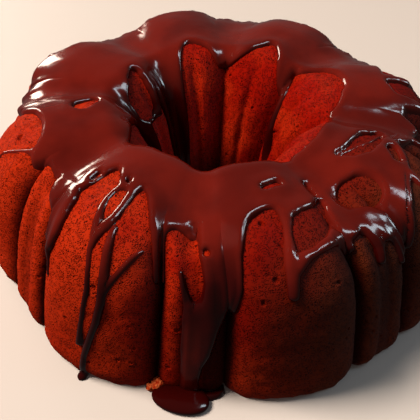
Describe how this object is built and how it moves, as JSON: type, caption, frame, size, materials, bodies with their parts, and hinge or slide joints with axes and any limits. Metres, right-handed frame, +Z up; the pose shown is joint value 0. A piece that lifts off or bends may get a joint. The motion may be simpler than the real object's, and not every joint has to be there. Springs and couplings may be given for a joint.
{
  "type": "bundt cake",
  "caption": "Whole chocolate ring cake with rounded flutes, narrow ribs between them, an open well and a poured chocolate glaze.",
  "frame": {"origin": "centre of the bounding box at the height of the flat foot that the cake stands on", "axes": "+Z up along the ring's axis, -Y through the middle of one large flute, +X to its right as seen from the front"},
  "size_m": [0.2464, 0.2508, 0.0765],
  "materials": {
    "cake_crumb": "matte",
    "chocolate_glaze": "gloss"
  },
  "bodies": {
    "root": {"cake": "cake_crumb"}
  },
  "joints": []
}
